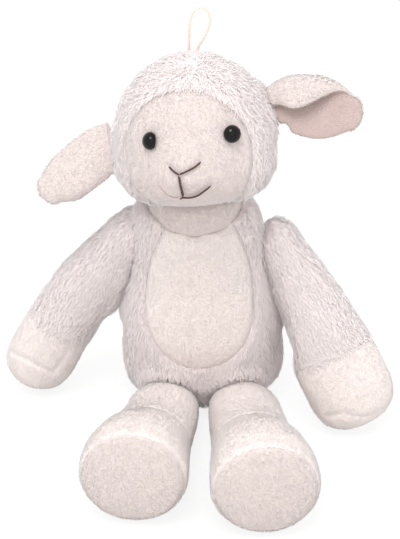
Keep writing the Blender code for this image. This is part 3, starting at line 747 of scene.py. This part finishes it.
# Pile: its strands are closed needles of three sides, the long ones with one bend
piles = {
    "long": {"length": 0.0064, "lean": 70, "radius": 0.00021, "perSquare": 0.93e6, "stray": 0.30, "soft": 3.2,
             "loose": 7, "bend": True, "clump": 0.15, "clumpSize": 0.0045},
    "short": {"length": 0.0022, "lean": 77, "radius": 0.00020, "perSquare": 2.05e6, "stray": 0.30,
              "soft": 3.0, "loose": 6, "bend": False},
    "lining": {"length": 0.0016, "lean": 75, "radius": 0.00019, "perSquare": 2.0e6, "stray": 0.30,
               "soft": 3.0, "loose": 6, "bend": False},
}
strand = {
    "buried": 0.0010,  # how deep in a neighbour it may start
    "root": 0.0003,  # how deep in its backing it starts
    "arch": 0.62,  # share of its length at which it bends
    "bendWidth": 0.8,
    "lowest": 0.0004,  # above the floor
}
probe = {"toward": Vector((0.10, 0.17, 0.98)), "past": 0.00001, "most": 40}
sectorStrands = {4: 46000, 7: 18500}  # most strands in one piece, by a strand's corners
needles = {  # faces and corners of a straight and a bent strand
    4: {"faces": [(0, 1, 3), (1, 2, 3), (2, 0, 3), (2, 1, 0)], "along": [0, 0, 0, 1]},
    7: {"faces": [(0, 1, 4, 3), (1, 2, 5, 4), (2, 0, 3, 5), (3, 4, 6), (4, 5, 6), (5, 3, 6), (2, 1, 0)],
        "along": [0, 0, 0, 0.5, 0.5, 0.5, 1]},
}


def unit(vectors):
    return vectors / np.maximum(np.linalg.norm(vectors, axis=-1, keepdims=True), 1e-9)


def skinData(mesh, faces):  # places, normals and triangles of some faces
    threes = [three for three in mesh.calc_loop_triangles() if three[0].face in faces]
    triangles = np.array([[loop.vert.index for loop in three] for three in threes])
    places = np.array([tuple(v.co) for v in mesh.verts])
    normals = np.array([tuple(v.normal) for v in mesh.verts])
    return places, normals, triangles


def within(point, tree):  # whether a point is inside a closed form, by the walls above it
    start, walls = point.copy(), 0
    while walls < probe["most"]:
        hit = tree.ray_cast(start, probe["toward"])[0]
        if hit is None:
            break
        start = hit + probe["toward"] * probe["past"]
        walls += 1
    return walls % 2 == 1


def room(places, group, nearTo=0.008):  # distance to the nearest other group, below zero inside it
    free = np.full(len(places), nearTo)
    for other, (tree, low, high) in shells.items():
        if other == group:
            continue
        close = np.flatnonzero(((places > low - nearTo) & (places < high + nearTo)).all(axis=1))
        for k in close:
            point = Vector(places[k])
            place, normal, _, away = tree.find_nearest(point)
            if (point - place).dot(normal) < 0 and within(point, tree):
                away = -away
            free[k] = min(free[k], away)
    return free


def scatterRoots(rng, pile, skin, free, bare, over):  # evenly over the skin, outside its bare strips
    places, normals, triangles = skin
    corners = places[triangles]
    areas = np.linalg.norm(np.cross(corners[:, 1] - corners[:, 0], corners[:, 2] - corners[:, 0]), axis=1) / 2
    free = free[triangles].mean(axis=1)
    areas = areas * (free > -strand["buried"] - over)
    count = int(areas.sum() * pile["perSquare"])
    chosen = np.searchsorted(np.cumsum(areas), rng.random(count) * areas.sum())
    chosen = np.minimum(chosen, len(areas) - 1)
    u, v = rng.random(count), rng.random(count)
    flip = u + v > 1
    u[flip], v[flip] = 1 - u[flip], 1 - v[flip]
    shares = np.stack([1 - u - v, u, v], axis=1)[:, :, None]
    roots = (places[triangles[chosen]] * shares).sum(axis=1)
    up = unit((normals[triangles[chosen]] * shares).sum(axis=1))
    free = free[chosen]
    if len(bare):
        keep = nearness(roots, bare) > yarn["bare"]
        roots, up, free = roots[keep], up[keep], free[keep]
    return roots, up, free


def gathered(rng, pile, roots, tips, reach):  # strands of a clump lean towards its middle one
    count = len(roots)
    wanted = max(8, int(count / pile["perSquare"] / pile["clumpSize"] ** 2))
    centres = rng.choice(count, min(wanted, count), replace=False)
    tree = KDTree(len(centres))
    for k, centre in enumerate(centres):
        tree.insert(roots[centre], k)
    tree.balance()
    nearest = centres[[tree.find(root)[1] for root in roots]]
    pull = (pile["clump"] * rng.uniform(0.5, 1.1, count))[:, None]
    tips = tips * (1 - pull) + (roots[nearest] + (tips - roots)[nearest]) * pull
    return roots + unit(tips - roots) * np.minimum(np.linalg.norm(tips - roots, axis=1)[:, None], reach)


def combedTips(rng, pile, nap, roots, up, space):  # where strands end that lean along the nap
    count = len(roots)
    nap = np.asarray(nap, float)
    flow = unit(nap[None] - up * (up @ nap)[:, None] + rng.normal(0, 0.02, (count, 3)))
    flow = flow + rng.normal(0, pile["stray"], (count, 3))
    flow = unit(flow - up * (flow * up).sum(axis=1)[:, None])
    lean = np.radians(pile["lean"] + rng.normal(0, pile["loose"], count))[:, None]
    held = np.clip(0.5 + space / pile["length"], 0.5, 1)
    reach = (pile["length"] * rng.uniform(0.78, 1.06, count) * held)[:, None]
    tips = roots + (up * np.cos(lean) + flow * np.sin(lean)) * reach
    if "clump" in pile:
        tips = gathered(rng, pile, roots, tips, reach)
    return tips, reach


def strandCorners(rng, pile, roots, tips, up, reach):  # every strand's corners, and the way that each faces
    count = len(roots)
    rings = [(roots - up * strand["root"], 1.0)]
    if pile["bend"]:
        arch = roots + up * reach * strand["arch"]
        rings.append((roots * 0.3 + tips * 0.3 + arch * 0.4, strand["bendWidth"]))
    for points in [centres for centres, share in rings] + [tips]:
        points[:, 2] = np.maximum(points[:, 2], strand["lowest"])
    ahead = unit(tips - rings[0][0])
    across = unit(np.cross(ahead, up) + rng.normal(0, 0.05, (count, 3)))
    across = unit(across - ahead * (across * ahead).sum(axis=1)[:, None])
    other = np.cross(ahead, across)
    width = pile["radius"] * rng.uniform(0.8, 1.2, count)
    turn = rng.uniform(0, math.tau, count)
    verts = np.empty((count, 3 * len(rings) + 1, 3))
    facing = np.empty_like(verts)
    for row, (centres, share) in enumerate(rings):
        for k in range(3):
            angle = turn + k / 3 * math.tau
            spoke = across * np.cos(angle)[:, None] + other * np.sin(angle)[:, None]
            verts[:, 3 * row + k] = centres + spoke * width[:, None] * share
            facing[:, 3 * row + k] = unit(up * pile["soft"] + spoke)
    verts[:, -1] = tips
    facing[:, -1] = unit(up * pile["soft"] + ahead)
    return verts, facing


def growPile(name, skin, kind, nap, free, seed, bare=(), over=0):
    pile = piles[kind]
    rng = np.random.default_rng(seed)
    roots, up, free = scatterRoots(rng, pile, skin, free, bare, over)
    tips, reach = combedTips(rng, pile, nap, roots, up, free + over)
    verts, facing = strandCorners(rng, pile, roots, tips, up, reach)
    print(f"  {name}: {len(roots)} strands")
    return verts, facing, rng.random(len(roots))


def addPile(name, strands, material, body):  # one pile, cut into sectors round the form
    verts, facing, tones = strands
    middle = verts[:, 0].mean(axis=0)
    order = np.argsort(np.arctan2(verts[:, 0, 1] - middle[1], verts[:, 0, 0] - middle[0]))
    count = math.ceil(len(order) / sectorStrands[verts.shape[1]])
    for k, sector in enumerate(np.array_split(order, count)):
        label = name if count == 1 else f"{name}{k + 1}"
        mesh = strandMesh(label, verts[sector], facing[sector], tones[sector])
        addPiece(label, mesh, material, body)


def needleCorners(needle):  # its faces' corners in a square of the UV map
    corners = []
    for face in needle["faces"][:-1]:
        side = min(face) % 3
        turns = (side, side + 1, side + 1, side) if len(face) == 4 else (side, side + 1, side + 0.5)
        for turn, vert in zip(turns, face):
            corners.append((turn / 3, 0.2 + 0.8 * needle["along"][vert]))
    return np.array(corners + [(0, 0), (1, 0), (0.5, 0.12)])


def strandMesh(name, verts, facing, tone):
    count, size = verts.shape[:2]
    needle = needles[size]
    mesh = bpy.data.meshes.new(name)
    loops = np.array([corner for face in needle["faces"] for corner in face])
    sizes = np.array([len(face) for face in needle["faces"]])
    starts = np.concatenate([[0], np.cumsum(sizes)[:-1]])
    each = np.arange(count)[:, None]
    mesh.vertices.add(count * size)
    mesh.vertices.foreach_set("co", verts.ravel())
    mesh.loops.add(count * len(loops))
    mesh.loops.foreach_set("vertex_index", (each * size + loops).ravel().astype(np.int32))
    mesh.polygons.add(count * len(sizes))
    mesh.polygons.foreach_set("loop_start", (each * len(loops) + starts).ravel().astype(np.int32))
    mesh.update(calc_edges=True)
    across = math.ceil(math.sqrt(count))
    cell = np.concatenate([each % across, each // across], axis=1)[:, None, :]
    square = (cell + 0.1 + needleCorners(needle) * 0.8) / across
    mesh.uv_layers.new(name="OFBake").uv.foreach_set("vector", square.ravel().astype(np.float32))
    for key, values in (("along", np.tile(needle["along"], count)), ("tone", np.repeat(tone, size))):
        attribute = mesh.attributes.new(key, "FLOAT", "POINT")
        attribute.data.foreach_set("value", values.astype(np.float32))
    mesh.shade_smooth()
    mesh.normals_split_custom_set_from_vertices(facing.reshape(-1, 3))
    return mesh


# Finishes of the cloths. Their tones hold painted light and shade. One short-pile cloth comes in a lighter
# and a darker copy, by how light falls on the parts it covers. The long pile is painted near full white
# against the shade in its deep pile. Strand roots are painted darker as shade deep in the pile, and the
# backing is painted darker as the shade between strands.
cloths = {
    # long-pile cloth, painted near full white against the shade in its deep pile
    "long": {"light": colour(255, 246, 245), "deep": colour(253, 241, 239), "back": colour(245, 231, 229),
             "pile": "long"},
    # short-pile cloth of the face, ears, soles and neck, painted darker where it faces the lamps and for the
    # shade under the chin
    "short": {"light": colour(225, 214, 211), "deep": colour(221, 209, 205), "back": colour(211, 197, 193),
              "pile": "short"},
    # the same short-pile cloth for the belly, mitts, leg sleeves and feet, painted lighter where the toy sits
    # in more shade
    "pale": {"light": colour(243, 233, 230), "deep": colour(239, 228, 224), "back": colour(226, 214, 210),
             "pile": "short"},
    "lining": {"light": colour(215, 198, 194), "deep": colour(203, 183, 178), "back": colour(180, 157, 152),
               "pile": "lining"},
}


def pileFinish(kind):
    finish = Finish(f"{kind}Pile", Roughness=0.9, Sheen_Weight=0.8, Sheen_Roughness=0.5)
    tints = cloths[kind]
    along = finish.node("ShaderNodeAttribute", {"attribute_name": "along"}, out="Fac")
    tone = finish.node("ShaderNodeAttribute", {"attribute_name": "tone"}, out="Fac")
    # darker towards the strands' roots as painted shade deep in the pile, with random tone by strand and by
    # noise
    share = along * 0.5 + tone * 0.15 + finish.noise(60) * 0.35
    return finish.output(Base_Color=finish.colours(share, tints["deep"], tints["light"]))


def skinFinish(kind):
    finish = Finish(f"{kind}Backing", Roughness=0.95, Sheen_Weight=0.3)
    tints = cloths[kind]
    fibre = finish.noise(1500, 3)
    knit = finish.node("ShaderNodeTexVoronoi", feeds={"Vector": finish.place, "Scale": 900}, out="Distance")
    # the backing is painted darker than the strands, as the shade between them, with fibre noise and a knit
    # pattern
    share = fibre * 0.7 + finish.noise(90) * 0.4 - knit * 0.2
    return finish.output(Base_Color=finish.colours(share, tints["back"], tints["deep"]),
                         Normal=finish.bump(fibre + knit * 0.5, 0.0004, 0.7))


print("finishes")
pileMaterial = {kind: pileFinish(kind) for kind in cloths}
skinMaterial = {kind: skinFinish(kind) for kind in cloths}

panels = {
    "body_cover": {"cloth": "long", "over": 0.0035, "slot": "long_pile", "nap": (0, -0.1, -1), "fill": 0.7},
    "belly_panel": {"cloth": "pale", "slot": "short_pile", "nap": (0, 0, -1), "fill": 0.7},
    "neck_pad": {"cloth": "short", "over": 0.005, "slot": "long_pile", "nap": (0, 0, -1), "fill": 0.6},
    "tail": {"cloth": "long", "over": 0.0020, "slot": "long_pile", "nap": (0, 0.5, -1), "fill": 0.6},
    "head_cover": {"cloth": "long", "over": 0.0030, "slot": "long_pile", "nap": (0, 0.1, -1), "fill": 0.8},
    "face_panel": {"cloth": "short", "slot": "short_pile", "nap": (0, -0.2, -1), "fill": 0.8},
}
for side, sign in (("left", 1), ("right", -1)):
    armNap, legNap, earNap = (0.55 * sign, -0.4, -0.8), (0.1 * sign, -1, -0.5), ears[side]["nap"]
    panels[f"arm_{side}_sleeve"] = {"cloth": "long", "over": 0.0035, "slot": "long_pile", "nap": armNap,
                                    "fill": 0.7}
    panels[f"arm_{side}_mitt"] = {"cloth": "pale", "slot": "short_pile", "nap": armNap, "fill": 0.7}
    panels[f"ear_{side}_outer"] = {"cloth": "short", "slot": "short_pile", "nap": earNap, "fill": 0.2}
    panels[f"ear_{side}_lining"] = {"cloth": "lining", "slot": "lining", "nap": earNap, "fill": 0.2}
    for part, kind in (("sleeve", "pale"), ("foot", "pale"), ("sole", "short")):
        panels[f"leg_{side}_{part}"] = {"cloth": kind, "slot": "short_pile", "nap": legNap, "fill": 0.8}
seeds = {"forms": 100, "ears": 300, "step": 10}


def camel(name):  # a CAD name of one word gets "Cover", so that no two objects share it
    first, *rest = name.split("_")
    rest = rest or ["cover"]
    return first + "".join(word.capitalize() for word in rest)


def wholeTree(mesh):
    places = np.array([tuple(v.co) for v in mesh.verts])
    return BVHTree.FromBMesh(mesh), places.min(axis=0), places.max(axis=0)


def dressPanel(name, mesh, number, free, ride, seed, filling=(), bare=()):  # pile and backing of one panel
    panel = panels[name]
    kind, slot, label = panel["cloth"], panel["slot"], camel(name)
    layer = mesh.faces.layers.int["panel"]
    skin = skinData(mesh, {face for face in mesh.faces if face[layer] == number})
    over = panel.get("over", 0)
    strands = growPile(f"{label}Pile", skin, cloths[kind]["pile"], panel["nap"], free, seed, bare, over)
    addPile(f"{label}Pile", strands, pileMaterial[kind], ride)
    copy = mesh.copy()
    whole = name.startswith("ear")  # an ear's layer is closed already
    if not whole:
        layer = copy.faces.layers.int["panel"]
        bmesh.ops.delete(copy, geom=[face for face in copy.faces if face[layer] != number], context="FACES")
    cut = bpy.data.meshes.new(label)
    copy.to_mesh(cut)
    copy.free()
    cut.shade_smooth()
    made = addPiece(label, cut, skinMaterial[kind], ride)
    if not whole:
        applied(made, "SOLIDIFY", thickness=cloth["thickness"], offset=-1)
    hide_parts(name, *filling)


def readyMesh(mesh):
    mesh.normal_update()
    mesh.verts.index_update()
    return np.array([tuple(v.co) for v in mesh.verts])


print("pile")
shells = {name: wholeTree(form["mesh"]) for name, form in forms.items()}
earLayers = {side: (earLayer(ear, -1), earLayer(ear, 1)) for side, ear in ears.items()}
for side, layers in earLayers.items():
    both = layers[0].copy()
    scratch = bpy.data.meshes.new("ear")
    layers[1].to_mesh(scratch)
    both.from_mesh(scratch)
    bpy.data.meshes.remove(scratch)
    shells[f"ear_{side}"] = wholeTree(both)
    both.free()
for number, (name, form) in enumerate(forms.items()):
    free = room(readyMesh(form["mesh"]), name)
    for k, panel in enumerate(form["panels"]):
        bare = sewn if panel == "face_panel" else ()
        filling = form["filling"] if k == 0 else []
        seed = seeds["forms"] + seeds["step"] * number + k
        dressPanel(panel, form["mesh"], k, free, form["ride"], seed, filling, bare)
    bpy.data.objects.remove(form["piece"])
for number, (side, layers) in enumerate(earLayers.items()):
    for k, (layer, mesh) in enumerate(zip(("outer", "lining"), layers)):
        free = room(readyMesh(mesh), f"ear_{side}")
        seed = seeds["ears"] + seeds["step"] * number + k
        dressPanel(f"ear_{side}_{layer}", mesh, 0, free, f"ear_{side}", seed)


# Eyes and thread
def eyeFinish():
    finish = Finish("eyeGloss", Roughness=0.07, Specular_IOR_Level=0.26)
    # a slightly lighter mottle by noise, which also varies the roughness
    mottle = finish.noise(700, 3)
    tint = finish.colours(mottle, eyeShape["color"], eyeShape["worn"])
    return finish.output(Base_Color=tint, Roughness=mottle * 0.06 + 0.03)


def makeEye(side, material):
    eye = eyes[side]
    bpy.ops.object.select_all(action="DESELECT")
    bpy.ops.mesh.primitive_uv_sphere_add(segments=32, ring_count=20, radius=eyeShape["radius"])
    made = bpy.context.object
    bpy.ops.object.mode_set(mode="EDIT")
    bpy.ops.mesh.select_all(action="SELECT")
    behind = (0, 0, -eyeShape["radius"] * eyeShape["cut"])
    bpy.ops.mesh.bisect(plane_co=behind, plane_no=(0, 0, 1), use_fill=True, clear_inner=True)
    bpy.ops.mesh.select_all(action="SELECT")
    bpy.ops.transform.resize(value=(1, 1, eyeShape["dome"] / eyeShape["radius"]))
    bpy.ops.object.mode_set(mode="OBJECT")
    turn = eye["axis"].to_track_quat("Z", "Y").to_matrix().to_4x4()
    made.data.transform(Matrix.Translation(eye["place"] - eye["axis"].normalized() * eye["sunk"]) @ turn)
    made.name = f"eye{side.capitalize()}"
    made.data.materials.clear()
    made.data.materials.append(material)
    bpy.ops.object.shade_smooth_by_angle(angle=math.radians(40))
    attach(made, "head")
    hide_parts(f"eye_{side}")


def washerFinish():
    finish = Finish("washerPlastic", Roughness=0.45)
    cast = finish.noise(500)
    return finish.output(Base_Color=finish.colours(cast, colour(222, 222, 220), colour(238, 238, 236)),
                         Roughness=cast * 0.2 + 0.4)


def threadFinish(name, dark, light):
    finish = Finish(name, Roughness=0.62, Sheen_Weight=0.3)
    fibre = finish.noise(2400, 3)
    tint = finish.colours(fibre, dark, light)
    return finish.output(Base_Color=tint, Normal=finish.bump(fibre, 0.0002, 0.5))


def makeThread(name, thread, material):
    raised = [p + n * thread["lift"] for p, n in zip(thread["points"], thread["normals"])]
    route = smoothRoute(raised, yarn["step"])
    last = len(route) - 1
    radii = []
    for k in range(last + 1):
        share = k / last
        taper = min(1, yarn["endWidth"] + yarn["taper"] * min(share, 1 - share))
        bead = 1
        if "bead" in thread:
            bead += yarn["beading"] * math.cos(k * yarn["step"] / thread["bead"] * math.tau)
        radii.append(thread["radius"] * taper * bead)
    addPiece(name, twistedTube(route, radii, yarn), material, "head")


print("eyes and thread")
gloss = eyeFinish()
for side in eyes:
    makeEye(side, gloss)
    nodes[f"eye_washer_{side}"].data.materials.clear()
    nodes[f"eye_washer_{side}"].data.materials.append(washerFinish())
brown = threadFinish("noseThread", colour(44, 18, 15), colour(82, 42, 36))
faint = threadFinish("mouthThread", colour(196, 172, 168), colour(214, 194, 190))
for name, thread in threads.items():
    makeThread(f"{name}Thread", thread, faint if "faint" in thread else brown)


# Floor and light: a white table under soft lamps
studio = {
    "world": 1.09,
    "floorSize": 12,
    "floorDrop": 0.0002,
    "floorColor": (0.78, 0.772, 0.765, 1),
    "floorGlow": 1.05,
    "glowShare": 0.8,
    "lamps": {
        "key": {"place": (-0.45, -1.25, 3.50), "size": 2.0, "power": 70},
        "fill": {"place": (0.9, -3.0, 1.9), "size": 2.0, "power": 4},
    },
}


def plainRays(tree):  # 1 for what the camera sees, straight, mirrored or through glass
    path = tree.nodes.new("ShaderNodeLightPath")
    total = path.outputs["Is Camera Ray"]
    for name in ("Is Glossy Ray", "Is Transmission Ray"):
        both = tree.nodes.new("ShaderNodeMath")
        both.operation = "MAXIMUM"
        tree.links.new(total, both.inputs[0])
        tree.links.new(path.outputs[name], both.inputs[1])
        total = both.outputs[0]
    return total


def setWorld():
    world = bpy.data.worlds.new("studio")
    world.use_nodes = True
    bpy.context.scene.world = world
    tree = world.node_tree
    background = tree.nodes["Background"]
    background.inputs["Color"].default_value = (1, 1, 1, 1)
    level = tree.nodes.new("ShaderNodeMapRange")
    tree.links.new(plainRays(tree), level.inputs["Value"])
    level.inputs["To Min"].default_value = studio["world"]
    level.inputs["To Max"].default_value = 1
    tree.links.new(level.outputs[0], background.inputs["Strength"])


def setFloor():
    bpy.ops.object.select_all(action="DESELECT")
    bpy.ops.mesh.primitive_plane_add(size=studio["floorSize"], location=(0, 0, -studio["floorDrop"]))
    floor = bpy.context.object
    floor.name = "floor"
    material = bpy.data.materials.new("floorWhite")
    material.use_nodes = True
    tree = material.node_tree
    tree.nodes.clear()
    matt = tree.nodes.new("ShaderNodeBsdfDiffuse")
    matt.inputs["Color"].default_value = studio["floorColor"]
    glow = tree.nodes.new("ShaderNodeEmission")
    glow.inputs["Strength"].default_value = studio["floorGlow"]
    mixed = tree.nodes.new("ShaderNodeMixShader")
    share = tree.nodes.new("ShaderNodeMath")
    share.operation = "MULTIPLY"
    share.inputs[1].default_value = studio["glowShare"]
    out = tree.nodes.new("ShaderNodeOutputMaterial")
    tree.links.new(plainRays(tree), share.inputs[0])
    tree.links.new(share.outputs[0], mixed.inputs[0])
    tree.links.new(matt.outputs[0], mixed.inputs[1])
    tree.links.new(glow.outputs[0], mixed.inputs[2])
    tree.links.new(mixed.outputs[0], out.inputs["Surface"])
    floor.data.materials.append(material)


def setLamps():
    for name, lamp in studio["lamps"].items():
        data = bpy.data.lights.new(name, "AREA")
        data.shape = "DISK"
        data.size = lamp["size"]
        data.energy = lamp["power"]
        made = bpy.data.objects.new(name, data)
        bpy.context.collection.objects.link(made)
        made.location = lamp["place"]
        aim = Vector(lamp["place"]) - photo["target"]
        made.rotation_euler = aim.to_track_quat("Z", "Y").to_euler()


print("floor and light")
setWorld()
setFloor()
setLamps()
bpy.context.scene.view_settings.view_transform = "Standard"

print("finish")
